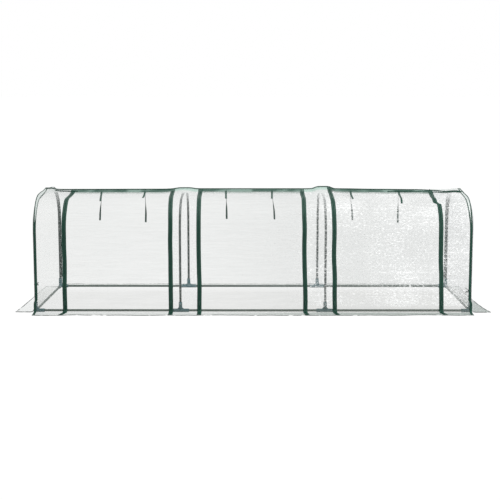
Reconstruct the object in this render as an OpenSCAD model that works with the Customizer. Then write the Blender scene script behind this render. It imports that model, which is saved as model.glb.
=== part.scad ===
// Polytunnel greenhouse: four bent steel hoops on ground rails, plugged together with moulded
// fittings, under a clear film cover with three zipped roll-up doors and a skirt on the ground.
// The origin is on the ground at the middle of the plan. X runs along the tunnel and the doors
// face -Y.

/* [Tunnel] */
// Length over the tubes of the two end hoops
tunnel_l = 2950; // [2600:10:3600]
// Width over the tubes of the legs
tunnel_w = 1000; // [900:10:1300]
// Height of the ridge tube's axis above the ground
ridge_z = 784; // [700:2:1100]
// Bend radius of the shoulders, on the tube's axis
shoulder_r = 220; // [140:5:260]
// Slope of the roof tubes up to the ridge, in degrees
roof_slope = 6; // [3:1:15]

/* [Tubes] */
// Outer diameter of every frame tube
tube_d = 16; // [14:0.5:20]
// Wall of the tubes
tube_wall = 1; // [0.8:0.1:1.6]
// Length of the reduced end of an arch that slides into its leg
spigot_l = 40; // [25:1:60]
// Length of the rolled collar where an arch stops on its leg
collar_l = 8; // [4:0.5:14]
// How far the rolled collar stands out from the tube
collar_out = 0.5; // [0.3:0.1:1]

/* [Fittings] */
// Length of a fitting's arm, from the middle of the fitting
arm_l = 58; // [50:1:80]
// Wall of a fitting's socket
socket_wall = 3.8; // [3:0.1:5]
// Wall left between the sockets inside a fitting
stop_wall = 3; // [2:0.5:5]
// Clearance round a tube in its socket, and round a spigot in its leg
tube_fit = 0.2; // [0.1:0.05:0.3]
// Room left between the end of a tube and the floor of its socket
end_room = 2; // [1:0.5:4]
// Lead-in chamfer at the mouth of a socket
lead_in = 1.5; // [0.5:0.1:2]
// Reach of the corner webs along each arm
web_reach = 18; // [10:1:26]
// Thickness of the corner webs
web_t = 6; // [4:0.5:9]
// Thickness left at the tip of a corner web
web_tip = 1; // [0.5:0.1:2]

/* [Film cover] */
// Thickness of the film as it is modelled
film_t = 1; // [0.8:0.1:1.5]
// Clearance between the fittings and the film
film_gap = 0.3; // [0.1:0.1:0.5]
// Clearance between an end panel's edge and the film round it
seam_gap = 0.3; // [0.1:0.1:0.5]
// Width of the front and back skirts on the ground
flap_w = 112; // [80:2:180]
// Width of the end skirts on the ground
end_flap_w = 92; // [60:2:180]
// Bend radius where the wall turns out into the skirt
flare_r = 18; // [12:1:30]
// Width of each film strip beside a door, between its two edges
strip_w = 198; // [150:2:240]

/* [Zips and tapes] */
// Width of a zip's two tapes together
zip_w = 30; // [20:1:40]
// Thickness of the zip tapes
zip_t = 1; // [0.6:0.1:1.5]
// Width of the closed zip coil, which is also the gap between door and strip
coil_w = 6; // [4:0.5:10]
// Height of the zip coil above its tape
coil_h = 1.5; // [1:0.1:2.5]
// Width of the tape on the two faces of each end edge
bind_w = 17; // [10:1:25]
// Thickness of the end edge's tape
bind_t = 1; // [0.6:0.1:1.5]
// Width of the header tape along the top of a door
header_w = 40; // [25:1:60]
// Thickness of the header tape
header_t = 1; // [0.6:0.1:1.5]
// Width of a door tie
tie_w = 14; // [8:1:20]
// Thickness of a door tie
tie_t = 1; // [0.6:0.1:1.5]
// Length of the outer tie, which lies on the roof and shoulder
tie_out_l = 290; // [150:5:400]
// Length of the inner tie, which hangs under the ridge
tie_in_l = 235; // [150:5:330]
// Distance between the two ties of a door
tie_spread = 330; // [200:10:450]
// Room between the ridge tube and an inner tie
tie_room = 6; // [3:1:12]

/* [Hidden] */
$fn = 64;
HOOPS = 4;
DOORS = 3;
FLARE_STEPS = 6;
SHOULDER_STEPS = 24;
GREEN_STEEL = [0.36, 0.45, 0.41];
TEAL_PLASTIC = [0.40, 0.48, 0.48];
CLEAR_FILM = [0.88, 0.91, 0.90, 0.35];
GREEN_TAPE = [0.16, 0.27, 0.24];
SIDES = ["front", "back"];
ENDS = ["left", "right"];

// Frame
end_x = (tunnel_l - tube_d) / 2;
leg_y = (tunnel_w - tube_d) / 2;
socket_d = tube_d + 2 * tube_fit;
arm_d = socket_d + 2 * socket_wall;
rail_z = arm_d / 2;
stop_l = socket_d / 2 + stop_wall;
tube_end = stop_l + end_room;
spigot_d = tube_d - 2 * tube_wall - 2 * tube_fit;
spigot_bore = spigot_d - 2 * tube_wall;

// Hoop line: an upright, a shoulder bend and a straight roof run up to the ridge fitting
bend = 90 - roof_slope;
bend_y = leg_y - shoulder_r;
roof_span = bend_y + shoulder_r * sin(roof_slope);
roof_run = roof_span / cos(roof_slope);
spring_z = ridge_z - shoulder_r * cos(roof_slope) - roof_span * tan(roof_slope);
leg_top = spring_z - collar_l / 2;

// Cover: its line is the film's inner face, set off from the hoop line by the fittings
cover_off = arm_d / 2 + film_gap;
wall_y = leg_y + cover_off;
wall_x = end_x + cover_off;
edge_x = wall_x + film_t;
door_w = (2 * end_x - (DOORS + 1) * strip_w) / DOORS;

// Angle that an outer tie goes round the shoulder, and the film's angle between two bends there
cover_r = shoulder_r + cover_off;
roof_left = (bend_y + cover_r * sin(roof_slope) - header_w) / cos(roof_slope);
tie_bend = (tie_out_l - roof_left) / cover_r * 180 / PI;
film_step = bend / SHOULDER_STEPS;

// Middle of each hoop, door and zip along the tunnel, counted from the left
function hoop_x(i) = -end_x + (i - 1) * 2 * end_x / (HOOPS - 1);
function door_x(i) = (i - (DOORS + 1) / 2) * (door_w + strip_w);
function zip_x(i, side) = door_x(i) + side * door_w / 2;

// Frame tubes

module ring(outer, bore) {
    difference() {
        circle(d = outer);
        circle(d = bore);
    }
}

module tube(length) {
    linear_extrude(length) ring(tube_d, tube_d - 2 * tube_wall);
}

module hoop_legs(i) {
    color(GREEN_STEEL) for (side = [-1, 1])
        translate([hoop_x(i), side * leg_y, rail_z + tube_end]) tube(leg_top - rail_z - tube_end);
}

// The front half of a hoop's arch: a reduced end in the leg, a rolled collar, the shoulder bend
// and the roof run, which are made together where they meet and then turned into place
module half_arch() {
    translate([0, -leg_y, leg_top - spigot_l])
        linear_extrude(spigot_l + collar_l / 2) ring(spigot_d, spigot_bore);
    translate([0, -leg_y, leg_top])
        linear_extrude(collar_l) ring(tube_d + 2 * collar_out, spigot_bore - 2 * collar_out);
    translate([0, -bend_y, spring_z]) rotate([0, 0, -90]) rotate([0, -bend, 0]) {
        rotate([-90, 0, 0]) rotate_extrude(angle = bend)
            translate([shoulder_r, 0]) ring(tube_d, tube_d - 2 * tube_wall);
        translate([shoulder_r, 0, 0]) tube(roof_run - tube_end);
    }
}

module hoop_arch(i) {
    color(GREEN_STEEL) for (back = [0, 1]) mirror([0, back, 0]) translate([hoop_x(i), 0, 0]) half_arch();
}

// The tubes between neighbouring hoops at one place across the tunnel
module long_tubes(y, z) {
    color(GREEN_STEEL) for (i = [1:HOOPS - 1])
        translate([hoop_x(i) + tube_end, y, z])
            rotate([0, 90, 0]) tube(hoop_x(i + 1) - hoop_x(i) - 2 * tube_end);
}

module end_rails() {
    color(GREEN_STEEL) for (end = [-1, 1])
        translate([end * end_x, -leg_y + tube_end, rail_z])
            rotate([-90, 0, 0]) tube(2 * (leg_y - tube_end));
}

// Moulded fittings

TO_RIGHT = [0, 90, 0];
TO_LEFT = [0, -90, 0];
TO_BACK = [-90, 0, 0];
DOWN_FRONT = [90 + roof_slope, 0, 0];
DOWN_BACK = [-90 - roof_slope, 0, 0];
UP = [0, 0, 0];

// A hollow-sided web in the corner between two arms that run along +X and +Y
module web() {
    root = arm_d / 2 - socket_wall / 2;
    linear_extrude(web_t, center = true) translate([root, root]) difference() {
        square(web_reach);
        translate([web_reach, web_reach]) circle(web_reach - web_tip);
    }
}

// Sockets that point along the given turns, with webs in the corners between them
module fitting(arms, webs) {
    color(TEAL_PLASTIC) difference() {
        union() {
            for (turn = arms) rotate(turn) cylinder(d = arm_d, h = arm_l);
            for (turn = webs) rotate(turn) web();
            sphere(d = arm_d - web_tip);
        }
        for (turn = arms) rotate(turn) {
            translate([0, 0, stop_l]) cylinder(d = socket_d, h = arm_l);
            translate([0, 0, arm_l - lead_in])
                cylinder(d1 = socket_d, d2 = socket_d + 4 * lead_in, h = 2 * lead_in);
        }
    }
}

module corner() {
    translate([-end_x, -leg_y, rail_z])
        fitting([TO_RIGHT, TO_BACK, UP], [[0, 0, 0], [90, 0, 0], [90, 0, 90]]);
}

module tee() {
    translate([hoop_x(2), -leg_y, rail_z])
        fitting([TO_LEFT, TO_RIGHT, UP], [[90, 0, 0], [90, 0, 180]]);
}

module ridge_tee() {
    translate([-end_x, 0, ridge_z])
        fitting([TO_RIGHT, DOWN_FRONT, DOWN_BACK], [[0, 0, 0], [0, 0, -90]]);
}

module ridge_cross() {
    translate([hoop_x(2), 0, ridge_z])
        fitting([TO_LEFT, TO_RIGHT, DOWN_FRONT, DOWN_BACK], [for (turn = [0:90:270]) [0, 0, turn]]);
}

// Film cover, drawn as outlines across the tunnel: x is then the place across it and y the height

function arc(centre, r, from, to, steps) =
    [for (k = [0:steps]) let (a = from + (to - from) * k / steps) centre + r * [cos(a), sin(a)]];

function reversed(points) = [for (k = [len(points) - 1:-1:0]) points[k]];

// A point on the front roof slope, at a depth out from the film's inner face and a distance from
// the middle of the tunnel
function roof_point(depth, from_ridge) =
    [-from_ridge, ridge_z + (cover_off + depth) / cos(roof_slope) - from_ridge * tan(roof_slope)];

// A skirt of a given width in front of a wall, from its edge up to the wall
function skirt_line(wall, width, depth) = concat(
    [[-wall - width, depth]],
    arc([-wall - flare_r, flare_r], flare_r - depth, -90, 0, FLARE_STEPS)
);

// The front wall, shoulder and roof above the skirt, stopping short of the ridge
function shell_line(depth, short = 0) = concat(
    [[-wall_y - depth, flare_r]],
    arc([-bend_y, spring_z], cover_r + depth, 180, 180 - bend, SHOULDER_STEPS),
    [roof_point(depth, short)]
);

function front_line(depth, short = 0) =
    concat(skirt_line(wall_y, flap_w, depth), shell_line(depth, short));

// What lies between two lines across the tunnel, from one place along it to another
module between(inner, outer, x0, x1) {
    translate([x0, 0, 0]) rotate([90, 0, 90]) linear_extrude(x1 - x0)
        polygon(concat(inner, reversed(outer)));
}

// Film over the front from the skirt's edge to the ridge
module front_film(x0, x1) {
    color(CLEAR_FILM) between(front_line(0), front_line(film_t), x0, x1);
}

module front_strip(i) {
    left = i == 1 ? -edge_x : zip_x(i - 1, 1) + coil_w / 2;
    right = i == DOORS + 1 ? edge_x : zip_x(i, -1) - coil_w / 2;
    front_film(left, right);
}

module door(i) {
    front_film(zip_x(i, -1) + coil_w / 2, zip_x(i, 1) - coil_w / 2);
}

module back_panel() {
    mirror([0, 1, 0]) front_film(-edge_x, edge_x);
}

module end_panel() {
    half = shell_line(-seam_gap);
    mirrored = [for (p = half) [-p[0], p[1]]];
    color(CLEAR_FILM) {
        between(half, mirrored, -edge_x, -wall_x);
        rotate([0, 0, -90]) between(
            skirt_line(wall_x, end_flap_w, 0), skirt_line(wall_x, end_flap_w, film_t),
            seam_gap - wall_y, wall_y - seam_gap
        );
    }
}

// Tapes

// Tape folded round the end edge of the cover, flat where it runs out over the skirt
module end_binding() {
    color(GREEN_TAPE) for (back = [0, 1]) mirror([0, back, 0]) {
        between(front_line(film_t), front_line(film_t + bind_t), -edge_x, bind_w - edge_x);
        between(shell_line(-bind_w), shell_line(film_t + bind_t), -edge_x - bind_t, -edge_x);
    }
}

module door_zips(i) {
    inner = front_line(film_t, header_w);
    color(GREEN_TAPE) for (side = [-1, 1]) translate([zip_x(i, side), 0, 0]) {
        between(inner, front_line(film_t + zip_t, header_w), -zip_w / 2, zip_w / 2);
        between(inner, front_line(film_t + zip_t + coil_h, header_w), -coil_w / 2, coil_w / 2);
    }
}

// The header tape's line on the roof film, up to the ridge
function header_line(depth) = [roof_point(depth, header_w), roof_point(depth, 0)];

module door_header(i) {
    color(GREEN_TAPE) between(
        header_line(film_t), header_line(film_t + header_t),
        zip_x(i, -1) - zip_w / 2, zip_x(i, 1) + zip_w / 2
    );
}

// An outer tie from the header down the roof and, if it is long enough, on round the shoulder, where
// it bends at the same places as the film
function tie_line(depth) = concat(
    [roof_point(depth, header_w)],
    tie_bend > 0
        ? [for (turn = [each [0:film_step:tie_bend], tie_bend]) let (lean = roof_slope + turn)
            [-bend_y, spring_z] + (cover_r + depth) * [-sin(lean), cos(lean)]]
        : [roof_point(depth, header_w + tie_out_l * cos(roof_slope))]
);

module door_ties(i) {
    hang_y = tube_d / 2 + tie_room + tie_t;
    hang_z = roof_point(0, hang_y)[1];
    color(GREEN_TAPE) for (side = [-1, 1])
        translate([door_x(i) + side * tie_spread / 2 - tie_w / 2, 0, 0]) {
            between(tie_line(film_t), tie_line(film_t + tie_t), 0, tie_w);
            translate([0, -hang_y, hang_z - tie_in_l]) cube([tie_w, tie_t, tie_in_l]);
        }
}

for (i = [1:HOOPS]) {
    hoop_legs(i);
    hoop_arch(i);
}
for (back = [0, 1]) for (right = [0, 1]) mirror([0, back, 0]) mirror([right, 0, 0]) {
    corner();
    tee();
}
for (right = [0, 1]) mirror([right, 0, 0]) {
    ridge_tee();
    ridge_cross();
    end_panel();
    end_binding();
}
long_tubes(-leg_y, rail_z);  // front_rails
long_tubes(leg_y, rail_z);  // back_rails
long_tubes(0, ridge_z);  // ridge_tubes
end_rails();
back_panel();
for (i = [1:DOORS + 1]) {
    front_strip(i);
}
for (i = [1:DOORS]) {
    door(i);
    door_zips(i);
    door_header(i);
    door_ties(i);
}
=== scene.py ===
# Polytunnel greenhouse: green steel hoops and moulded fittings under a clear film cover with three
# zipped doors. Metres, in the part's own frame: X along the tunnel, the doors towards -Y, Z up.

import math

import bmesh
import bpy
from mathutils import Matrix, Vector, noise


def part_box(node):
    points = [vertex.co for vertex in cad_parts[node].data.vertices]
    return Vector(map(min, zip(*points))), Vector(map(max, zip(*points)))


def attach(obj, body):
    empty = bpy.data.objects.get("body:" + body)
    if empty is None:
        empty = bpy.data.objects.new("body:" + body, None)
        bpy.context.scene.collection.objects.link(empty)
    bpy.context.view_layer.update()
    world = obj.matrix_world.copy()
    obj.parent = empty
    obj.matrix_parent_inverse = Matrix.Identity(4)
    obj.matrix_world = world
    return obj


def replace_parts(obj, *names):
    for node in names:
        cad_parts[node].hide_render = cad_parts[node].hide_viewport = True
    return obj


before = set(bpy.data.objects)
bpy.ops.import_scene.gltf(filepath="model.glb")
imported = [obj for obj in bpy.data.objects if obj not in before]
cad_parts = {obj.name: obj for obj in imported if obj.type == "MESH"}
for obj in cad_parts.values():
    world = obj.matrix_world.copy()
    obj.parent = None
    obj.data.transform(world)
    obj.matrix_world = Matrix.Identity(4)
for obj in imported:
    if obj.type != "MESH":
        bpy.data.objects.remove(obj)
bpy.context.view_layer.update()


# Frame tubes
# Steel tube, 16 mm outside, powder coated dark green: the legs, the bent arches, the ground rails and
# the ridge. Every end is pushed into a moulded fitting, and the arches plug into the legs.

TUBE_GREEN = (22, 38, 33)
TUBE_DUSTY = (44, 60, 54)
RAIL_LIT_GREEN = (68, 82, 76)
RAIL_LIT_DUSTY = (94, 108, 102)
SCUFFED_GREEN = (66, 80, 76)
SCUFFED_PALE = (118, 130, 126)
PEEL_H = 0.0002
HOOPS = 4


class Shade:
    """One output of a material's nodes, so that shader maths reads as plain sums."""

    def __init__(self, tree, socket=None):
        self.tree = tree
        self.socket = socket

    def node(self, kind, settings=(), inputs=(), output=0):
        """A new node of a kind, with its settings, and its sockets' values or links."""
        made = self.tree.nodes.new("ShaderNode" + kind)
        for name, setting in dict(settings).items():
            setattr(made, name, setting)
        self.feed(made, inputs)
        return Shade(self.tree, made.outputs[output])

    def feed(self, node, inputs):
        """Sets or links a node's sockets."""
        for name, value in dict(inputs).items():
            if isinstance(value, Shade):
                self.tree.links.new(value.socket, node.inputs[name])
            else:
                node.inputs[name].default_value = value

    def maths(self, operation, *terms):
        """A Math node's result for one or more terms."""
        return self.node("Math", {"operation": operation}, dict(enumerate(terms)))

    def __add__(self, other):
        return self.maths("ADD", self, other)

    __radd__ = __add__

    def __sub__(self, other):
        return self.maths("SUBTRACT", self, other)

    def __rsub__(self, other):
        return self.maths("SUBTRACT", other, self)

    def __mul__(self, other):
        return self.maths("MULTIPLY", self, other)

    __rmul__ = __mul__

    def __abs__(self):
        return self.maths("ABSOLUTE", self)

    def __gt__(self, other):
        return self.maths("GREATER_THAN", self, other)

    def axis(self, name):
        """One coordinate of this place."""
        return self.node("SeparateXYZ", (), {0: self}, output=name)

    def ramp(self, low, high):
        """0 where this value is low, 1 where it is high, and an even curve between."""
        ends = {"Value": self, "From Min": low, "From Max": high}
        return self.node("MapRange", {"interpolation_type": "SMOOTHSTEP"}, ends)

    def mix(self, low, high):
        """The colour low where this value is 0, and high where it is 1."""
        return self.node("Mix", {"data_type": "RGBA"}, {0: self, 6: low, 7: high}, output=2)


def seen(colour):
    """A colour as it is seen, 0 to 255, as the linear light that a shader takes."""
    parts = [value / 255 for value in colour]
    return [p / 12.92 if p <= 0.04045 else ((p + 0.055) / 1.055) ** 2.4 for p in parts] + [1.0]


def new_finish(name, plain):
    """A material with plain values on its shader, and the shader and the start of its maths."""
    made = bpy.data.materials.new(name)
    made.use_nodes = True
    shader = made.node_tree.nodes["Principled BSDF"]
    start = Shade(made.node_tree)
    start.feed(shader, plain)
    return made, shader, start


def grain(start, place, scale, detail=3.0, roughness=0.5):
    """Soft noise over a surface, about 0 to 1."""
    sizes = {"Vector": place, "Scale": scale, "Detail": detail, "Roughness": roughness}
    return start.node("TexNoise", (), sizes)


def bumped(start, height, distance, strength):
    """The surface's normal with a height on it, in metres."""
    return start.node("Bump", (), {"Height": height, "Distance": distance, "Strength": strength})


def powder_coat(name, dark, dusty):
    """Dark green powder coat: a fine orange peel, some dust and small rubbed places."""
    made, shader, start = new_finish(name, {"Specular IOR Level": 0.5})
    place = start.node("TexCoord", output="Object")
    dust = grain(start, place, scale=7.0, detail=4.0)
    peel = grain(start, place, scale=900.0, detail=2.0)
    rubbed = (grain(start, place, scale=60.0, detail=5.0, roughness=0.7) > 0.66) * 0.5
    start.feed(shader, {
        "Base Color": (dust * 0.5 + rubbed).mix(seen(dark), seen(dusty)),
        "Roughness": 0.30 + 0.22 * dust,
        "Normal": bumped(start, peel, PEEL_H, strength=0.5),
    })
    return made


def dress(names, finish):
    """Gives CAD nodes a finish in all their material slots."""
    for name in names:
        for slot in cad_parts[name].material_slots:
            slot.material = finish


tube_nodes = [f"hoop_{i}_{part}" for i in range(1, HOOPS + 1) for part in ("legs", "arch")]
dress(tube_nodes + ["ridge_tubes"], powder_coat("green_powder_coat", TUBE_GREEN, TUBE_DUSTY))

# The front and back rails have a paler, dusty coat: dust, and a painted highlight of their front light
dress(["front_rails", "back_rails"], powder_coat("lit_dusty_powder_coat", RAIL_LIT_GREEN, RAIL_LIT_DUSTY))
# The end rails are scuffed pale by drawing on the cover
dress(["end_rails"], powder_coat("scuffed_powder_coat", SCUFFED_GREEN, SCUFFED_PALE))


# Fittings
# Moulded polypropylene sockets in a dull blue green: corners and tees on the ground, tees and crosses
# at the ridge. The tubes are a push fit in them, and webs stiffen the corners between their arms.

FITTING_TEAL = (54, 88, 94)
FITTING_PALE = (80, 112, 116)
SPARK_H = 0.00015
SIDES = ("front", "back")
ENDS = ("left", "right")


def moulded_plastic(name, dark, pale):
    """Polypropylene with the mould's fine spark grain and paler flow marks."""
    made, shader, start = new_finish(name, {"Specular IOR Level": 0.45})
    place = start.node("TexCoord", output="Object")
    flow = grain(start, place, scale=38.0, detail=4.0, roughness=0.6)
    spark = grain(start, place, scale=1400.0, detail=2.0)
    start.feed(shader, {
        "Base Color": flow.mix(seen(dark), seen(pale)),
        "Roughness": 0.45 + 0.2 * flow,
        "Normal": bumped(start, spark, SPARK_H, strength=0.6),
    })
    return made


fitting_nodes = [f"{kind}_{side}_{end}" for kind in ("corner", "tee") for side in SIDES for end in ENDS]
fitting_nodes += [f"ridge_{kind}_{end}" for kind in ("tee", "cross") for end in ENDS]
dress(fitting_nodes, moulded_plastic("teal_plastic", FITTING_TEAL, FITTING_PALE))


# Film cover
# Clear soft PVC, welded from a back panel, two ends, four front strips and three doors, and pulled
# over the hoops. It rests on the tubes, sags between them, keeps the creases of its packing, and its
# skirt lies loose on the ground.

FRONT = -1
BACK = 1
LEFT = -1
RIGHT = 1

# The line of the cover across the tunnel, and the steps of its mesh
FILM_T = 0.001
SHOULDER_R = 0.220
ROOF_SLOPE = math.radians(6)
RIDGE_ROUND = 0.008
FLARE_R = 0.018
SKIRT_SPARE = 0.009
COLUMN = 0.016
ROW = 0.006

# How the film hangs: its rest on the tubes, its sag and belly, and how far hoops and fittings hold it up
FILM_REST = 0.0007
ROOF_SAG = 0.018
SAG_FROM_RIDGE = 0.10
WALL_BELLY = 0.012
HOOP_REACH = 0.09
FITTING_REACH = 0.066
FITTING_UP = 0.06
FOOT_EASE = 0.03
TENT_REACH = 0.085
TENT_FLAT = 1.6
CROWN_REACH = 0.085

# Its creases, which grow to the right and leave the ridge taut, and the rise of its loose skirt
PACKING_FOLD_H = 0.0018
PUCKER_H = 0.0016
CREASED_FROM = -0.6
CREASED_OVER = 1.6
TAUT_TO = 0.02
TAUT_EASE = 0.08
SKIRT_LIFT = 0.008

# Its colours: plain and marked film, painted glints and shade, and the tint of the light that comes
# through
FILM_GREY = (178, 181, 180)
FILM_FLOOR_SHADE = (138, 140, 134)
GLINT_WHITE = (252, 253, 253)
FILM_GREEN = (158, 168, 163)
FILM_SLANT_SHADE = (140, 146, 160)
FILM_GLINT = (226, 229, 228)
FILM_STRETCHED = (190, 194, 192)
FILM_CREST = (162, 184, 175)
FILM_TINT = (0.937, 0.942, 0.938, 1.0)
SKIRT_TINT = (0.985, 0.990, 0.988, 1.0)
WRINKLE_H = 0.003

# Where its marks begin and are full: along the tunnel and across it, then past its walls and ends
CRUMPLED_ALONG = (-0.5, 0.8)
FRONT_WALL = (-0.46, -0.49)
FRONT_SKIRT = (-0.50, -0.53)
DUST_AHEAD = (0.05, -0.20)
SKIRT_PAST_WALL = (0.006, 0.016)
FAR_END = (-0.010, -0.004)
CREST_PAST_END = (-0.20, -0.26)

# Where they begin and are full: up from the ground, then down from the ridge
RAIL_UP = (0.050, 0.025)
GLINTS_UP = (0.03, 0.06)
FLOOR_SHADE_UP = (0.19, 0.13)
CREASE_GLINTS_UP = (0.58, 0.72)
ROOF_UP = (0.74, 0.775)
STRETCH_DOWN = (0.024, 0.014)
PULL_DOWN = (0.13, 0.0)
CREST_DOWN = (0.080, 0.050)

# Height of the film's tent over each ridge fitting, and how far it stands to the right of the hoop
RIDGE_TENTS = ((0.006, 0.0), (0.003, 0.012), (0.012, 0.010), (0.002, 0.0))

leg_low, leg_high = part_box("hoop_1_legs")
door_low, door_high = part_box("door_2")
ridge_low, ridge_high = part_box("ridge_tubes")
tube_r = (leg_high.x - leg_low.x) / 2
leg_y = leg_high.y - tube_r
ridge_z = (ridge_low.z + ridge_high.z) / 2
hoop_xs = [sum(corner.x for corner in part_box(f"hoop_{i}_legs")) / 2 for i in range(1, HOOPS + 1)]

film_out = (door_high.z - ridge_z) * math.cos(ROOF_SLOPE) - FILM_T / 2
on_tube = tube_r + FILM_REST - film_out
wall_out = leg_y + film_out
end_x = hoop_xs[-1] + film_out
bend_out = leg_y - SHOULDER_R
shoulder_r = SHOULDER_R + film_out
roof_run = (bend_out + shoulder_r * math.sin(ROOF_SLOPE)) / math.cos(ROOF_SLOPE)
apex_z = ridge_z + film_out / math.cos(ROOF_SLOPE)
spring_z = apex_z - roof_run * math.sin(ROOF_SLOPE) - shoulder_r * math.cos(ROOF_SLOPE)
skirt_w = -door_low.y - wall_out - FLARE_R + SKIRT_SPARE

# Distances down the cover from the ridge to the shoulder, the wall, the flare, the skirt and its edge
to_shoulder = roof_run
to_wall = to_shoulder + shoulder_r * (math.pi / 2 - ROOF_SLOPE)
to_flare = to_wall + spring_z - FLARE_R
to_skirt = to_flare + FLARE_R * math.pi / 2
to_edge = to_skirt + skirt_w


def smooth(value):
    """0 below 0, 1 above 1, and an even curve between."""
    value = min(max(value, 0.0), 1.0)
    return value * value * (3 - 2 * value)


def cover_line(down):
    """Place out from the middle, height and outward lean, at a distance down from the ridge."""
    if down < to_shoulder:
        lean = ROOF_SLOPE * smooth(down / (2 * RIDGE_ROUND))
        return down * math.cos(ROOF_SLOPE), apex_z - down * math.sin(ROOF_SLOPE), lean
    if down < to_wall:
        lean = ROOF_SLOPE + (down - to_shoulder) / shoulder_r
        return bend_out + shoulder_r * math.sin(lean), spring_z + shoulder_r * math.cos(lean), lean
    if down < to_flare:
        return wall_out, spring_z - (down - to_wall), math.pi / 2
    if down < to_skirt:
        turn = (down - to_flare) / FLARE_R
        out = wall_out + FLARE_R * (1 - math.cos(turn))
        return out, FLARE_R * (1 - math.sin(turn)) + FILM_T, math.pi / 2 - turn
    return wall_out + FLARE_R + down - to_skirt, FILM_T, 0.0


def creases(along, down, kind):
    """Height of the creases at a place on the flat film: long packing folds and small puckers."""
    fold = noise.noise(Vector((along * 2.0, down * 24, kind)))
    pucker = noise.noise(Vector((along * 10, down * 42, kind + 9)))
    crumpled = 0.35 + smooth((along - CREASED_FROM) / CREASED_OVER)
    return crumpled * (PACKING_FOLD_H * (1 - abs(fold)) ** 4 + PUCKER_H * abs(pucker))


def skirt_rise(along, share, kind):
    """Height of the loose skirt over the ground, at a share of the way out to its edge."""
    wave = 0.5 + 0.5 * noise.noise(Vector((along * 4.5, kind, 2.5)))
    ripple = 0.5 + 0.5 * noise.noise(Vector((along * 16, kind, 7.5)))
    return SKIRT_LIFT * share ** 2 * (0.05 + 0.85 * wave ** 2 + 0.35 * ripple ** 2)


def stands(x, down, side):
    """How far the film stands out from its even line: over fittings, on tubes, sagging between them."""
    gaps = [abs(x - hoop) for hoop in hoop_xs]
    near = gaps.index(min(gaps))
    peak, aside = RIDGE_TENTS[near]
    free = 1 - math.exp(-(gaps[near] / HOOP_REACH) ** 2)
    over = 1 / (1 + (gaps[near] / FITTING_REACH) ** 8)
    tent = peak * smooth(TENT_FLAT * (1 - abs(x - hoop_xs[near] - aside) / TENT_REACH))
    crown = math.exp(-(down / CROWN_REACH) ** 2)
    foot = smooth((down - to_flare + FITTING_UP) / FOOT_EASE)
    flare = smooth((down - to_flare) / (to_skirt - to_flare))
    rest = on_tube * (1 - flare)
    height = rest + (tent - over * on_tube) * crown - over * rest * foot
    past = math.hypot(down, RIDGE_ROUND) - RIDGE_ROUND
    height -= ROOF_SAG * free * past / SAG_FROM_RIDGE * math.exp(1 - past / SAG_FROM_RIDGE)
    if to_shoulder < down < to_flare:
        share = (down - to_shoulder) / (to_flare - to_shoulder)
        height -= WALL_BELLY * free * math.sin(math.pi * share) ** 2
    loose = smooth((down - TAUT_TO) / TAUT_EASE) * (1 - 0.6 * flare)
    height += loose * creases(x, down, 3.5 * side)
    return height + skirt_rise(x, max(0.0, (down - to_flare) / (to_edge - to_flare)), side)


def film_point(x, down, side, lift=0.0):
    """A point on the film, or lifted off it along its outward direction."""
    out, up, lean = cover_line(down)
    away = stands(x, down, side) + lift
    return Vector((x, side * (out + away * math.sin(lean)), up + away * math.cos(lean)))


def laid_grid(columns, rows, place, flip=False):
    """A grid whose points place(across, along), each 0 to 1, lays out, with its flat cut as a UV map."""
    mesh = bmesh.new()
    bmesh.ops.create_grid(mesh, x_segments=columns, y_segments=rows, size=1)
    cut = mesh.loops.layers.uv.new("cut")
    flat = {}
    for vert in mesh.verts:
        vert.co, flat[vert] = place((vert.co.x + 1) / 2, (vert.co.y + 1) / 2)
    for face in mesh.faces:
        face.smooth = True
        for loop in face.loops:
            loop[cut].uv = flat[loop.vert]
    if flip:
        bmesh.ops.reverse_faces(mesh, faces=mesh.faces)
    return mesh


def piece(name, mesh, finish):
    """A finished object of the part, on its one body, from a bmesh."""
    data = bpy.data.meshes.new(name)
    mesh.to_mesh(data)
    mesh.free()
    data.materials.append(finish)
    made = bpy.data.objects.new(name, data)
    bpy.context.scene.collection.objects.link(made)
    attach(made, "root")
    return made


def veiled(made, start, cover, tint):
    """Lets light straight through a material, in a tint, where it doesn't cover."""
    nodes = made.node_tree.nodes
    clear = start.node("BsdfTransparent", (), {"Color": tint})
    solid = Shade(made.node_tree, nodes["Principled BSDF"].outputs[0])
    look = start.node("MixShader", (), {0: cover, 1: clear, 2: solid})
    start.feed(nodes["Material Output"], {"Surface": look})


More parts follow.
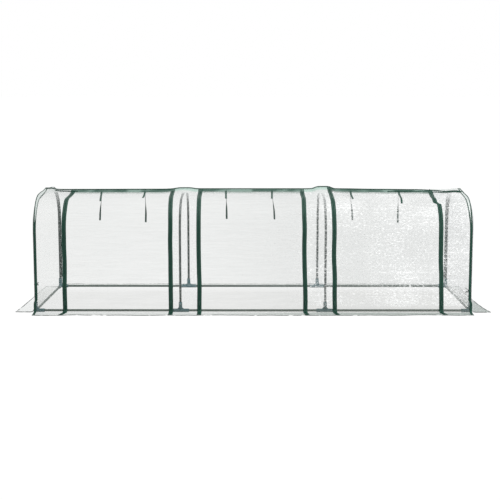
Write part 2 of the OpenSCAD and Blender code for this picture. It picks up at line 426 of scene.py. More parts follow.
def clear_film(name, whitened=0.0, tint=FILM_TINT, dust=1.0):
    """Clear soft PVC: a thin veil with fine stretch lines, painted glints to the right, a greener skirt.

    It may be whitened, by stretching over the ridge fittings and in fine glints, and its skirt may hold
    more dust."""
    made, shader, start = new_finish(name, {"Specular IOR Level": 0.5, "IOR": 1.5})
    cut = start.node("UVMap", {"uv_map": "cut"})
    place = start.node("TexCoord", output="Object")
    along = place.axis("X")
    across = place.axis("Y")
    height = place.axis("Z")

    def drawn_out(scale, detail, roughness):
        """Noise with a scale of its own along the sheet and down it."""
        spread = start.node("Mapping", (), {"Vector": cut, "Scale": scale})
        return grain(start, spread, 1.0, detail, roughness)

    # Unevenness of the sheet
    streaks = drawn_out((4.0, 46.0, 1.0), detail=4.0, roughness=0.6)
    lines = drawn_out((16.0, 150.0, 1.0), detail=3.0, roughness=0.6)
    specks = drawn_out((58.0, 96.0, 1.0), detail=4.0, roughness=0.62)
    cloud = grain(start, cut, scale=3.5)
    sparkle = grain(start, cut, scale=110.0, detail=2.0).ramp(0.50, 0.60)
    uneven = specks + streaks * 0.25 + cloud * 0.4
    milk = (streaks * 0.6 + lines * 0.4 - 0.44) * 0.22

    # Parts of the cover
    crumpled = along.ramp(*CRUMPLED_ALONG)
    # Painted shade: the right end panel, seen at a slant, is darker and bluer
    far_end_shade = along.ramp(*(end_x + step for step in FAR_END))
    front_wall = across.ramp(*FRONT_WALL)
    roof = height.ramp(*ROOF_UP)
    past_end = abs(along) - end_x
    lying = start.maths("MAXIMUM", abs(across) - wall_out, past_end).ramp(*SKIRT_PAST_WALL)

    # Marks, among them painted glints that leave the front rail clear, and painted shade near the ground
    rail = height.ramp(*RAIL_UP) * front_wall * 0.3
    # Painted glints and sheen: the creases' reflections of the lamps, as white patches and specks
    soft = (uneven * (0.7 + crumpled * 0.3) - rail).ramp(0.72, 0.98)
    crease_glints = (uneven + crumpled * 0.13 - height.ramp(*CREASE_GLINTS_UP) * 0.2 - rail).ramp(1.06, 1.14)
    glints = sparkle * height.ramp(*GLINTS_UP) * (0.2 * whitened)
    # Painted shade: the front film greys near the ground, for the cover's shade on the floor inside
    painted_floor_shade = height.ramp(*FLOOR_SHADE_UP) * front_wall
    ahead = across.ramp(*DUST_AHEAD) * dust
    front_skirt = across.ramp(*FRONT_SKIRT)
    dusty = lying * (ahead * (0.12 + crumpled * 0.22) + front_skirt * (0.08 + crumpled * 0.12))
    stretched = height.ramp(*(apex_z - down for down in STRETCH_DOWN)) * 0.75
    pulled = stretched + height.ramp(*(apex_z - down for down in PULL_DOWN)) * 0.3
    crest = cut.axis("Y").ramp(*CREST_DOWN) * past_end.ramp(*CREST_PAST_END)

    # Colours, each laid over the one before
    colour = far_end_shade.mix(seen(FILM_GREY), seen(FILM_SLANT_SHADE))
    colour = painted_floor_shade.mix(colour, seen(FILM_FLOOR_SHADE))
    colour = (glints * 4.0).mix(colour, seen(FILM_GLINT))
    colour = start.maths("MAXIMUM", crease_glints, soft).mix(colour, seen(GLINT_WHITE))
    colour = (pulled * whitened).mix(colour, crest.mix(seen(FILM_STRETCHED), seen(FILM_CREST)))
    start.feed(shader, {
        "Base Color": lying.mix(colour, seen(FILM_GREEN)),
        "Roughness": 0.18 + 0.16 * cloud,
        "Normal": bumped(start, streaks + lines * 0.5 + specks, WRINKLE_H, strength=0.7),
    })
    # The veil thickens to the right with the creases, and on the roof as a painted reflection of film
    # seen aslant
    grey = 0.04 + milk + crumpled * (0.10 + roof * 0.12) + painted_floor_shade * 0.15 + roof * 0.2 + dusty
    marks = glints + far_end_shade * 0.05 + soft * 0.17 + crease_glints * 0.42 + pulled * (0.8 * whitened)
    veiled(made, start, grey + marks, tint)
    return made


# Each panel of film with its size before it was put on, what it rests on and what is sewn to it
cuts = {}


def film_panel(name, left, right, finish, side=FRONT):
    """A panel of the cover from the ridge to its skirt's edge, between two edges that run down it."""
    def place(across, along):
        down = along * to_edge
        x = left(down) + across * (right(down) - left(down))
        return film_point(x, down, side), (x, down)

    width = right(0.0) - left(0.0)
    mesh = laid_grid(round(width / COLUMN), round(to_edge / ROW), place, flip=side == FRONT)
    made = piece(name + "_film", mesh, finish)
    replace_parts(made, name)
    rail = "front_rails" if side == FRONT else "back_rails"
    cuts[name] = {"piece": made, "flat": (width, to_edge), "rests_on": ["ridge_tubes", rail], "sewn": []}


# Lean of each zip away from its straight line: at the ridge, the wall's top and foot, the skirt's edge
ZIP_LEANS = (
    (-0.003, 0.002, 0.000, -0.014),
    (-0.012, 0.002, 0.003, 0.003),
    (-0.014, -0.006, -0.003, -0.001),
    (-0.010, -0.011, -0.002, 0.008),
    (-0.016, -0.010, -0.002, 0.013),
    (-0.016, -0.008, 0.002, 0.016),
)
ZIP_W = 0.030
ZIP_WANDER = 0.003
COIL_W = 0.006
DOORS = 3

# The last zip is drawn to the left down the roof, and jogs back on the shoulder
JOG = 0.024
JOG_DOWN = 0.39
JOG_LENGTH = 0.016

# The end seams lie on the hoops, and run out over the corner fittings and in again on the skirt
SEAM_OUT = 0.003
FOOT_UP = 0.07
CORNER_IN = 0.009

film = clear_film("clear_film")
strip_film = clear_film("strip_film", whitened=1.0)
skirt_film = clear_film("skirt_film", tint=SKIRT_TINT, dust=1.9)
zip_boxes = [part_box(f"door_{i}_zips") for i in range(1, DOORS + 1)]
zip_xs = [x for low, high in zip_boxes for x in (low.x + ZIP_W / 2, high.x - ZIP_W / 2)]


def zip_line(count):
    """The middle of a zip, counted from the left, as a place along the tunnel for a distance down."""
    ridge, wall, foot, edge = ZIP_LEANS[count]

    def line(down):
        x = zip_xs[count] + ridge + (wall - ridge) * smooth(down / to_wall)
        x += (foot - wall) * smooth((down - to_wall) / (to_flare - to_wall))
        x += (edge - foot) * smooth((down - to_flare) / (to_edge - to_flare))
        x += ZIP_WANDER * noise.noise(Vector((count * 5.0, down * 6, 0.5)))
        if count == len(zip_xs) - 1:
            x -= JOG * smooth(down / JOG_DOWN) * (1 - smooth((down - JOG_DOWN) / JOG_LENGTH))
        return x

    return line


def end_line(end):
    """The cover's end seam: on the hoop, out over the corner fitting, and drawn in on the skirt."""
    def line(down):
        foot = smooth((down - to_flare + FOOT_UP) / FOOT_EASE)
        skirt = smooth((down - to_flare) / (to_edge - to_flare))
        return end * (hoop_xs[-1] + SEAM_OUT + (film_out - SEAM_OUT) * foot - CORNER_IN * skirt)

    return line


def beside(line, step):
    """A line at a step to the right of another."""
    return lambda down: line(down) + step


zips = [zip_line(count) for count in range(len(zip_xs))]
film_panel("back_panel", end_line(LEFT), end_line(RIGHT), film, BACK)
edges = [end_line(LEFT)]
for line in zips:
    edges += [beside(line, -COIL_W / 2), beside(line, COIL_W / 2)]
edges += [end_line(RIGHT)]
for i in range(DOORS + 1):
    film_panel(f"front_strip_{i + 1}", edges[4 * i], edges[4 * i + 1], strip_film)
for i in range(DOORS):
    film_panel(f"door_{i + 1}", edges[4 * i + 2], edges[4 * i + 3], film)

# The ends are flat panels under the hoops. Their rim turns over the hoop to the seam, and their skirt
# is widest at its corners, with widths in front, in the middle and behind for each end.
END_SKIRT_SHARE = 0.2
END_SKIRT_W = ((0.104, 0.090, 0.080), (0.107, 0.068, 0.075))
END_RIM = 0.022
END_SLACK = 0.002


def cover_height(across):
    """Height of the cover's even line at a place across the tunnel."""
    out = min(abs(across), wall_out)
    span = bend_out + shoulder_r * math.sin(ROOF_SLOPE)
    if out < span:
        return apex_z - out * math.tan(ROOF_SLOPE)
    return spring_z + math.sqrt(max(0.0, shoulder_r ** 2 - (out - bend_out) ** 2))


def end_skirt_length(end, y):
    """Length of an end's turn and skirt, from the wall's foot to the edge."""
    front, middle, back = END_SKIRT_W[end == RIGHT]
    corner = front if y < 0 else back
    return FLARE_R * math.pi / 2 + middle + (corner - middle) * (y / wall_out) ** 2


def end_skirt(end, y, past):
    """A point on an end's turn and skirt, at a distance past the wall's foot."""
    turn = min(past / FLARE_R, math.pi / 2)
    out = FLARE_R * (1 - math.cos(turn)) + max(0.0, past - FLARE_R * math.pi / 2)
    up = FLARE_R * (1 - math.sin(turn)) + FILM_T
    up += skirt_rise(y, past / end_skirt_length(end, y), 11.0 + end)
    return Vector((end * (end_x + out), y, up))


def end_film(name, end):
    """An end panel: its rim on the hoop, its wall, the turn at the ground and the skirt."""
    crown = RIDGE_TENTS[0 if end == LEFT else -1][0] - on_tube

    def place(across, along):
        y = (2 * across - 1) * wall_out
        height = cover_height(y) + on_tube + crown * math.exp(-(y / CROWN_REACH) ** 2)
        if along < 1 - END_SKIRT_SHARE:
            down = along / (1 - END_SKIRT_SHARE) * (height - FLARE_R)
            rim = min(down, wall_out - abs(y)) / END_RIM
            low = smooth((down - height + 2 * FOOT_UP) / FOOT_UP)
            out = SEAM_OUT + (film_out - SEAM_OUT) * max(low, smooth(rim))
            inner = smooth(rim - 1)
            out += inner * (creases(y + 1.2 * end, down, 20.5 + end) - END_SLACK)
            return Vector((end * (hoop_xs[-1] + out), y, height - down)), (y, down)
        past = (along - 1 + END_SKIRT_SHARE) / END_SKIRT_SHARE * end_skirt_length(end, y)
        return end_skirt(end, y, past), (y, height - FLARE_R + past)

    columns = round(2 * wall_out / COLUMN)
    rows = round((apex_z + END_SKIRT_W[0][0]) / ROW)
    mesh = laid_grid(columns, rows, place, flip=end == LEFT)
    for face in mesh.faces:
        face.material_index = int(end * face.calc_center_median().x > end_x + FLARE_R / 2)
    made = piece(name + "_film", mesh, film)
    made.data.materials.append(skirt_film)
    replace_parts(made, name)
    ys = [(2 * (k + 0.5) / columns - 1) * wall_out for k in range(columns)]
    lengths = [cover_height(y) - FLARE_R + end_skirt_length(end, y) for y in ys]
    flat = (2 * wall_out, max(lengths))
    cuts[name] = {"piece": made, "flat": flat, "area": flat[0] * sum(lengths) / columns,
                  "rests_on": [f"hoop_{1 if end == LEFT else HOOPS}_arch", "end_rails"], "sewn": []}


for end, end_name in zip((LEFT, RIGHT), ENDS):
    end_film(f"end_panel_{end_name}", end)


# Skirt hems
# The skirt's raw edges have curled up into a narrow roll. The layers of film in it are darker than the
# skirt, so it shows as a broken line round the edge.

HEM_R = 0.0026
HEM_DARK = (46, 58, 55)
HEM_GREY = (92, 102, 98)
HEM_AHEAD = (0.15, -0.05)
ROLL_SIDES = 8
NUDGE = 0.001
MERGE = 0.00001


def rolled_edge(name, colour):
    """Film in several layers: a darker line, fainter behind, with gaps where the roll has opened."""
    made, _, start = new_finish(name, {"Base Color": seen(colour), "Roughness": 0.3})
    place = start.node("TexCoord", output="Object")
    ahead = place.axis("Y").ramp(*HEM_AHEAD)
    shows = grain(start, place, scale=26.0).ramp(0.34, 0.52)
    veiled(made, start, shows * (0.22 + 0.68 * ahead), FILM_TINT)
    return made


def roll(length, radius, edge):
    """A narrow round roll along an edge, which edge(share) follows, no lower than the ground."""
    def place(across, along):
        turn = 2 * math.pi * along
        share = min(max(across, NUDGE), 1 - NUDGE)
        ahead = (edge(share + NUDGE) - edge(share - NUDGE)).normalized()
        aside = ahead.cross(Vector((0.0, 0.0, 1.0))).normalized()
        up = aside.cross(ahead)
        middle = edge(across)
        middle.z = max(middle.z, radius)
        point = middle + radius * (math.cos(turn) * aside + math.sin(turn) * up)
        return point, (radius * turn, across * length)

    mesh = laid_grid(round(length / COLUMN), ROLL_SIDES, place)
    bmesh.ops.remove_doubles(mesh, verts=mesh.verts, dist=MERGE)
    bmesh.ops.holes_fill(mesh, edges=mesh.edges[:], sides=ROLL_SIDES)
    bmesh.ops.recalc_face_normals(mesh, faces=mesh.faces)
    return mesh


def joined(meshes):
    """Several bmeshes as one."""
    whole = bmesh.new()
    for mesh in meshes:
        part = bpy.data.meshes.new("part")
        mesh.to_mesh(part)
        mesh.free()
        whole.from_mesh(part)
        bpy.data.meshes.remove(part)
    return whole


def sewn(panel, name, mesh, finish):
    """A piece that is sewn or welded to a panel of the film."""
    made = piece(name, mesh, finish)
    cuts[panel]["sewn"].append(made)
    return made


def long_hem(side):
    """The roll along the front or back skirt's edge."""
    left, right = end_line(LEFT)(to_edge), end_line(RIGHT)(to_edge)
    width = right - left
    return roll(width, HEM_R, lambda share: film_point(left + share * width, to_edge, side))


def end_hems(end):
    """The rolls along an end skirt's outer edge and its two corners."""
    def outer(share):
        y = (2 * share - 1) * wall_out
        return end_skirt(end, y, end_skirt_length(end, y))

    def corner(side):
        y = side * wall_out
        length = end_skirt_length(end, y)
        return roll(length, HEM_R, lambda share: end_skirt(end, y, share * length))

    return [roll(2 * wall_out, HEM_R, outer), corner(FRONT), corner(BACK)]


grey_hem = rolled_edge("grey_hem", HEM_GREY)
sewn("door_2", "front_skirt_hem", long_hem(FRONT), grey_hem)
sewn("back_panel", "back_skirt_hem", long_hem(BACK), grey_hem)
dark_hem = rolled_edge("dark_hem", HEM_DARK)
for end, end_name in zip((LEFT, RIGHT), ENDS):
    sewn(f"end_panel_{end_name}", f"{end_name}_skirt_hem", joined(end_hems(end)), dark_hem)


# Green tapes
# Woven polypropylene tape, sewn through the film with a row of stitches near each edge. It makes the
# zips, the header along the top of each door, the ties and the binding of the end seams.

TAPE_GREEN = (14, 54, 42)
TAPE_WORN = (30, 72, 59)
TAPE_T = 0.0009
TAPE_LIFT = 0.0006
TAPE_ROW = 0.008
TAPE_SHORT = 0.001
WEAVE_H = 0.0004
RIB = 0.0017
STITCH = 0.0045
STITCH_IN = 0.0026
THREAD_R = 0.0006


def woven_tape(name, width, dark=TAPE_GREEN, worn_and_sheen=TAPE_WORN, faded_and_sheen=0.3):
    """Green tape with fine ribs across it, a row of stitches near each edge, and paler stretches: wear,
    and on the header a painted sheen.
    """
    made, shader, start = new_finish(name, {"Specular IOR Level": 0.25})
    cut = start.node("UVMap", {"uv_map": "cut"})
    along = cut.axis("Y")
    ribs = start.maths("SINE", along * (2 * math.pi / RIB))
    row = start.maths("COMPARE", abs(cut.axis("X")), width / 2 - STITCH_IN, THREAD_R)
    dash = start.maths("SINE", along * (2 * math.pi / STITCH)) > -0.3
    thread = row * dash
    wear = grain(start, cut, scale=35.0, detail=4.0, roughness=0.6)
    stretches = grain(start, cut, scale=4.0, detail=2.0).ramp(0.46, 0.60) * faded_and_sheen
    start.feed(shader, {
        "Base Color": (wear * 0.4 + thread * 0.5 + stretches).mix(seen(dark), seen(worn_and_sheen)),
        "Roughness": 0.40 + 0.2 * wear,
        "Normal": bumped(start, ribs * 0.3 + thread * 1.5, WEAVE_H, strength=0.8),
    })
    return made


def thickened(mesh, thickness=TAPE_T):
    """Gives a sheet of tape its thickness, and hands it back."""
    bmesh.ops.solidify(mesh, geom=mesh.faces[:], thickness=-thickness)
    return mesh


def tape_strip(line, width, start_down, end_down, columns=2, lift=TAPE_LIFT):
    """Tape along a line that runs down the front of the cover."""
    length = end_down - start_down

    def place(across, along):
        down = start_down + along * length
        step = (across - 0.5) * width
        return film_point(line(down) + step, down, FRONT, lift), (step, down)

    return thickened(laid_grid(columns, round(length / TAPE_ROW), place, flip=True))


# Zips
# Each door has a nylon coil zip down both sides, from the header over the shoulder to the skirt's
# edge: two woven tapes sewn to the film, a closed coil between them, and a slider left at the bottom.

HEADER_W = 0.040
ZIP_FROM = 0.012
COIL_PITCH = 0.0024
COIL_H = 0.0014
COIL_SHIFT = 0.0006
COIL_SHORT = 0.01
TOOTH = (0.0046, 0.0013, COIL_H)
SLIDER_UP = 0.055
SLIDER_BODY = (0.009, 0.013, 0.005)
SLIDER_TAB = (0.006, 0.024, 0.0014)
SLIDER_ROUND = 0.0006
TAB_DOWN = 0.01295
TAB_OUT = 0.00448

# How far the ridge seam has slipped down the front of the roof, at places along the tunnel
SEAM_SLIPS = ((-1.48, 0.030), (-1.38, 0.014), (-1.22, 0.012), (-0.64, 0.009), (-0.50, 0.0), (0.56, 0.0),
              (0.90, 0.010), (1.14, 0.014), (1.28, 0.024), (1.38, 0.050), (1.48, 0.120))

zip_tape = woven_tape("zip_tape", ZIP_W)
slider_green = moulded_plastic("green_plastic", TAPE_GREEN, TAPE_WORN)


def seam_slip(x):
    """Distance of the ridge seam down the front of the roof, at a place along the tunnel."""
    for (first, low), (last, high) in zip(SEAM_SLIPS, SEAM_SLIPS[1:]):
        if x < last:
            return low + (high - low) * smooth((x - first) / (last - first))
    return SEAM_SLIPS[-1][1]


def both_tapes(line):
    """The two tapes of a closed zip, as one strip from below the ridge seam to the skirt's edge."""
    return tape_strip(line, ZIP_W, seam_slip(line(0.0)) + ZIP_FROM, to_edge - TAPE_SHORT, columns=4)


def coil(line):
    """The closed coil: short bars across the gap, alternately a little to the left and right."""
    mesh = bmesh.new()
    size = Matrix.Diagonal((*TOOTH, 1.0))
    top = seam_slip(line(0.0)) + HEADER_W + COIL_SHORT
    for count in range(int((to_edge - top - COIL_SHORT) / COIL_PITCH)):
        down = top + count * COIL_PITCH
        shift = COIL_SHIFT if count % 2 else -COIL_SHIFT
        middle = film_point(line(down) + shift, down, FRONT, TAPE_LIFT + TAPE_T + COIL_H / 2)
        turn = Matrix.Rotation(cover_line(down)[2], 4, "X")
        bmesh.ops.create_cube(mesh, size=1, matrix=Matrix.Translation(middle) @ turn @ size)
    return mesh


def slider(line):
    """A moulded slider at the bottom of a closed zip, with its pull hanging from it."""
    down = to_flare - SLIDER_UP
    foot = film_point(line(down), down, FRONT, TAPE_LIFT + TAPE_T)
    on_film = Matrix.Translation(foot) @ Matrix.Rotation(cover_line(down)[2], 4, "X")
    mesh = bmesh.new()
    for size, drop, out in ((SLIDER_BODY, 0.0, SLIDER_BODY[2] / 2), (SLIDER_TAB, TAB_DOWN, TAB_OUT)):
        middle = Matrix.Translation((0.0, -drop, out))
        bmesh.ops.create_cube(mesh, size=1, matrix=on_film @ middle @ Matrix.Diagonal((*size, 1.0)))
    bmesh.ops.bevel(mesh, geom=mesh.edges[:], offset=SLIDER_ROUND, segments=2, profile=0.5,
                    affect="EDGES", material=-1)
    return mesh


for i in range(DOORS):
    door = f"door_{i + 1}"
    pair = zips[2 * i:2 * i + 2]
    tapes = joined([both_tapes(line) for line in pair])
    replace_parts(sewn(door, door + "_zip_tape", tapes, zip_tape), door + "_zips")
    sewn(door, door + "_zip_coil", joined([coil(line) for line in pair]), zip_tape)
    sewn(door, door + "_zip_sliders", joined([slider(line) for line in pair]), slider_green)


# Headers and ties
# A piping runs along the ridge seam, and a tape beside it closes the top of each door, with the door's
# film folded under it. Two pairs of ties are sewn into the tape: the outer ones lie on the roof and the
# inner ones hang inside, ready to hold the door when it is rolled up.

PIPING_R = 0.0032
BAND_ROWS = 8
HEADER_FOLD = 0.045
HEADER_GREEN = (24, 62, 50)
HEADER_SHEEN = (114, 136, 127)
FOLD_GREEN = (132, 148, 141)
TIE_W = 0.013
TIE_TUCK = 0.012

# Each outer tie's place along the tunnel, how far down the cover it reaches, and its lean and curl
TIE_SHAPES = ((-1.070, 0.37, 0.035, 1.0), (-0.765, 0.29, 0.011, 0.6), (-0.190, 0.32, 0.007, 1.2),
              (0.135, 0.32, -0.005, 1.0), (0.690, 0.33, -0.009, 0.8), (1.030, 0.40, -0.022, 1.0))

# Each inner tie's lean and length, and how all of them hang, turn to the front and sway
TIES_INSIDE = ((-0.016, 0.217), (0.006, 0.231), (0.006, 0.207), (0.018, 0.210), (0.014, 0.213),
               (-0.003, 0.233))
TIE_BELOW = 0.008
TIE_AHEAD = 0.0075
TIE_SWING = 0.004
TIE_SWAY = 0.003
TIE_STEPS = 24
TIE_EDGE_ON = 1.35
TIE_TURNS = (1.0, 1.12, 1.24)
TURN_FROM = 0.35
TURN_OVER = 0.5

# Folds in the cover below the ridge seam: from, to, and how far below it
RIDGE_FOLDS = ((-1.40, -1.24, 0.026), (0.95, 1.45, 0.030))

# The header's paler stretches are a painted sheen, of dark tape catching the light on the roof
header_tape = woven_tape("header_tape", HEADER_W, HEADER_GREEN, HEADER_SHEEN, faded_and_sheen=0.9)
tie_tape = woven_tape("tie_tape", TIE_W)


def folded_film():
    """The door's film where it is turned up under the header: green and milky, thinning downwards."""
    made, _, start = new_finish("folded_film", {"Base Color": seen(FOLD_GREEN), "Roughness": 0.3})
    cut = start.node("UVMap", {"uv_map": "cut"})
    uneven = grain(start, cut, scale=5.0, detail=2.0).ramp(0.38, 0.60)
    thick = cut.axis("X").ramp(HEADER_FOLD / 2, -HEADER_FOLD / 4)
    veiled(made, start, thick * (0.35 + 0.4 * uneven), FILM_TINT)
    return made


def ridge_roll(left, right, below):
    """A thin round piping or fold along the ridge seam, at a distance below it."""
    def edge(share):
        x = left + share * (right - left)
        return film_point(x, seam_slip(x) + below, FRONT, PIPING_R)

    return roll(right - left, PIPING_R, edge)


def ridge_band(left, right, top, width):
    """A band beside the ridge between two zips, from a distance down the roof."""
    first = left(0.0) - ZIP_W / 2
    length = right(0.0) + ZIP_W / 2 - first

    def place(across, along):
        x = first + across * length
        down = seam_slip(x) + top + along * width
        return film_point(x, down, FRONT, TAPE_LIFT), ((along - 0.5) * width, x)

    return laid_grid(round(length / COLUMN), BAND_ROWS, place, flip=True)


def header(left, right):
    """The header tape, from the ridge to its lower edge, between two zips."""
    return thickened(ridge_band(left, right, 0.0, HEADER_W))


def outer_tie(x, reach, lean, curl):
    """A tie that lies on the roof from the header, and leans aside towards its end."""
    def line(down):
        return x + lean * max(0.0, (down - HEADER_W) / (reach - HEADER_W)) ** curl

    return tape_strip(line, TIE_W, seam_slip(x) + HEADER_W - TIE_TUCK, reach, lift=TAPE_LIFT + TAPE_T)


def inner_tie(x, count):
    """A tie that hangs inside from the ridge seam, turned on itself by its stiffness."""
    top = apex_z - TIE_BELOW
    y = -(tube_r + TIE_AHEAD)
    lean, length = TIES_INSIDE[count]

    def place(across, along):
        turn = TIE_EDGE_ON - TIE_TURNS[count % 3] * smooth((along - TURN_FROM) / TURN_OVER)
        step = (across - 0.5) * TIE_W
        sway = lean * smooth(along * 1.2) + TIE_SWAY * math.sin(3.5 * along + count) * along
        ahead = abs(step * math.sin(turn)) + TIE_SWING * along
        point = Vector((x + sway + step * math.cos(turn), y - ahead, top - along * length))
        return point, (step, along * length)

    return thickened(laid_grid(2, TIE_STEPS, place))


header_fold = folded_film()
piping = ridge_roll(end_line(LEFT)(0.0), end_line(RIGHT)(0.0), 0.0)
folds = [ridge_roll(*fold) for fold in RIDGE_FOLDS]
sewn("back_panel", "ridge_piping", joined([piping] + folds), tie_tape)
for i in range(DOORS):
    door = f"door_{i + 1}"
    pair = zips[2 * i:2 * i + 2]
    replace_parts(sewn(door, door + "_header_tape", header(*pair), header_tape), door + "_header")
    sewn(door, door + "_header_fold", ridge_band(*pair, HEADER_W, HEADER_FOLD), header_fold)
    ties = []
    for count in (2 * i, 2 * i + 1):
        ties.append(outer_tie(*TIE_SHAPES[count]))
        ties.append(inner_tie(TIE_SHAPES[count][0], count))
    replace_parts(sewn(door, door + "_tie_tapes", joined(ties), tie_tape), door + "_ties")


# End bindings
# The end seams are bound with green tape that lies on the hoop, from the ridge over the shoulder down
# to the skirt's corner. Near the foot of each front corner a short tie holds the seam to the leg.

BIND_W = 0.017
BIND_FROM = 0.004
BIND_OPEN = (0.40, 0.58)
SEAM_FROM = 0.006
FOLD_W = 0.006
OPEN_FROM = 0.02
SEAM_HIGHLIGHT = (188, 195, 192)
binding_tape = woven_tape("binding_tape", BIND_W)

# How far each end's outer fold stands up off the shoulder, and its inner fold lies further in
SEAM_OPENS = ((0.020, 0.0), (0.005, 0.008))


def seam_opens(end, down):
    """How far the folds stand up and in at a distance down the seam."""
    share = min(max((down - OPEN_FROM) / (BIND_OPEN[1] - OPEN_FROM), 0.0), 1.0)
    return [reach * math.sin(math.pi * share) for reach in SEAM_OPENS[end == RIGHT]]


def bound_fold(end, side, fold):
    """One fold of an end seam's tape: apart from the other round the shoulder, closed on the wall."""
    seam = end_line(end)
    outer = fold == end

    def place(across, along):
        down = BIND_FROM + along * (to_edge - TAPE_SHORT - BIND_FROM)
        closed = smooth((down - BIND_OPEN[0]) / (BIND_OPEN[1] - BIND_OPEN[0]))
        up, inwards = seam_opens(end, down)
        width = FOLD_W + (BIND_W / 2 - FOLD_W) * closed
        step = fold * (BIND_W / 2 - width / 2) + (across - 0.5) * width
        x = seam(down) - end * BIND_W / 2 + step - (0.0 if outer else end * inwards)
        return film_point(x, down, side, TAPE_LIFT + (up if outer else 0.0)), (step, down)

    return thickened(laid_grid(2, round(to_edge / TAPE_ROW), place, flip=side == FRONT))


def highlight_strip(end, side):
    """A pale strip between the tape's folds: a painted highlight along the seam over the hoop's tube."""
    seam = end_line(end)

    def place(across, along):
        down = SEAM_FROM + along * (BIND_OPEN[1] - SEAM_FROM)
        up, inwards = seam_opens(end, down)
        outer = across if end == RIGHT else 1 - across
        step = (across - 0.5) * (BIND_W - FOLD_W)
        x = seam(down) - end * (BIND_W / 2 + (1 - outer) * inwards) + step
        return film_point(x, down, side, TAPE_LIFT / 2 + outer * up), (step, down)

    return laid_grid(2, round(BIND_OPEN[1] / TAPE_ROW), place, flip=side == FRONT)


# Between the folds round the shoulder, a pale strip is a painted highlight on the tube beneath
painted_seam_highlight = new_finish("painted_seam_highlight", {"Base Color": seen(SEAM_HIGHLIGHT), "Roughness": 0.3})[0]
for end, end_name in zip((LEFT, RIGHT), ENDS):
    panel = f"end_panel_{end_name}"
    folds = joined([bound_fold(end, side, fold) for side in (FRONT, BACK) for fold in (LEFT, RIGHT)])
    made = sewn(panel, f"end_binding_{end_name}_tape", folds, binding_tape)
    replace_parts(made, f"end_binding_{end_name}")
    layers = joined([highlight_strip(end, side) for side in (FRONT, BACK)])
    sewn(panel, f"end_seam_{end_name}_film", layers, painted_seam_highlight)


# Each post tie's end, height, and length of its two loose tails, which point inwards
POST_TIES = ((LEFT, 0.19, 0.014), (RIGHT, 0.145, 0.026))
POST_TIE_W = 0.008
POST_TIE_T = 0.0005
POST_TIE_GAP = 0.0001
POST_TIE_STEPS = 24
TAIL_STEPS = 6
TAIL_AHEAD = 0.4
TAIL_RISES = (-0.3, 0.9)


def post_tie(end, height, tail):
    """A band of tape round a front leg with two short tails."""
    middle = Vector((end * hoop_xs[-1], -leg_y, height))

    def band(across, along):
        turn = 2 * math.pi * across
        out = (tube_r + POST_TIE_GAP) * Vector((math.cos(turn), math.sin(turn), 0.0))
        step = (along - 0.5) * POST_TIE_W
        return middle + out + Vector((0.0, 0.0, step)), (step, turn * tube_r)

    def loose(rise):
        def place(across, along):
            out = Vector((-end * (tube_r + across * tail), -TAIL_AHEAD * tube_r, rise * across * tail))
            step = (along - 0.5) * POST_TIE_W
            return middle + out + Vector((0.0, 0.0, step)), (step, across * tail)

        return laid_grid(TAIL_STEPS, 1, place)

    parts = [laid_grid(POST_TIE_STEPS, 1, band)] + [loose(rise) for rise in TAIL_RISES]
    for mesh in parts:
        bmesh.ops.remove_doubles(mesh, verts=mesh.verts, dist=MERGE)
        thickened(mesh, POST_TIE_T)
    return joined(parts)


piece("post_ties", joined([post_tie(*shape) for shape in POST_TIES]), tie_tape)


# Floor, light and camera
# A plain white floor and backdrop in soft studio light, seen from the photograph's place. One softbox
# hangs over the tunnel, and one stands in front of it to the right.

CAMERA_PLACE = (0.008, -8.057, 1.467)
CAMERA_PITCH = 7.849
CAMERA_YAW = 0.203
CAMERA_LENS = 81.87
SENSOR = 36.0
FLOOR_SIZE = 400.0
FLOOR_GREY = (0.9, 0.9, 0.9, 1.0)
WHITE = (1.0, 1.0, 1.0, 1.0)
FLOOR_LIGHT = 1.04
FLOOR_SHOWN = 0.94
WORLD_LIGHT = 0.55
BOUNCES_THROUGH_FILM = 32


def background_rays(start):
    """1 for the rays that see the background: straight from the camera, or by gloss or glass."""
    kinds = ("Is Camera Ray", "Is Glossy Ray", "Is Transmission Ray")
    camera, glossy, through = (start.node("LightPath", output=kind) for kind in kinds)
    return start.maths("MAXIMUM", start.maths("MAXIMUM", camera, glossy), through)


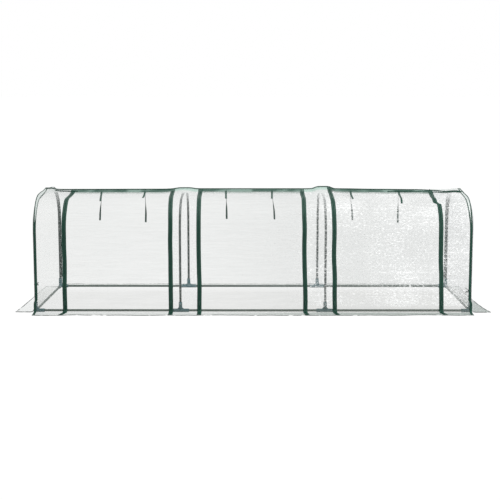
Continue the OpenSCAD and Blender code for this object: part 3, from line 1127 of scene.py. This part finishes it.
def white_floor():
    """Matt white that shows as the plain background and keeps a little of the object's shadow."""
    made, shader, start = new_finish("white_floor", {"Base Color": FLOOR_GREY, "Roughness": 0.9})
    white = start.node("Emission", (), {"Color": WHITE, "Strength": FLOOR_LIGHT})
    lit = Shade(made.node_tree, shader.outputs[0])
    look = start.node("MixShader", (), {0: background_rays(start) * FLOOR_SHOWN, 1: lit, 2: white})
    start.feed(made.node_tree.nodes["Material Output"], {"Surface": look})
    return made


floor_mesh = bmesh.new()
bmesh.ops.create_grid(floor_mesh, x_segments=1, y_segments=1, size=FLOOR_SIZE)
floor_data = bpy.data.meshes.new("floor")
floor_mesh.to_mesh(floor_data)
floor_mesh.free()
floor_data.materials.append(white_floor())
floor = bpy.data.objects.new("floor", floor_data)
bpy.context.scene.collection.objects.link(floor)

world = bpy.data.worlds.new("studio")
world.use_nodes = True
bpy.context.scene.world = world
start = Shade(world.node_tree)
start.feed(world.node_tree.nodes["Background"], {
    "Color": WHITE,
    "Strength": WORLD_LIGHT + background_rays(start) * (1.0 - WORLD_LIGHT),
})


def softbox(name, place, target, size, power):
    """A soft rectangular lamp that faces a point."""
    lamp = bpy.data.lights.new(name, "AREA")
    lamp.shape = "RECTANGLE"
    lamp.size, lamp.size_y = size
    lamp.energy = power
    made = bpy.data.objects.new(name, lamp)
    bpy.context.scene.collection.objects.link(made)
    made.location = place
    made.rotation_euler = (Vector(target) - Vector(place)).to_track_quat("-Z", "Y").to_euler()


softbox("top_softbox", place=(0.0, -0.8, 4.2), target=(0.0, 0.0, 0.4), size=(4.0, 2.0), power=120.0)
softbox("right_softbox", place=(3.6, -4.2, 2.6), target=(0.7, 0.0, 0.4), size=(1.6, 1.6), power=110.0)

camera = bpy.data.objects.new("camera", bpy.data.cameras.new("camera"))
bpy.context.scene.collection.objects.link(camera)
camera.data.lens = CAMERA_LENS
camera.data.sensor_width = SENSOR
camera.data.clip_end = 2 * FLOOR_SIZE
camera.location = CAMERA_PLACE
camera.rotation_euler = (math.radians(90 - CAMERA_PITCH), 0.0, math.radians(CAMERA_YAW))
bpy.context.scene.camera = camera
bpy.context.scene.view_settings.view_transform = "Standard"
bpy.context.scene.cycles.transparent_max_bounces = BOUNCES_THROUGH_FILM
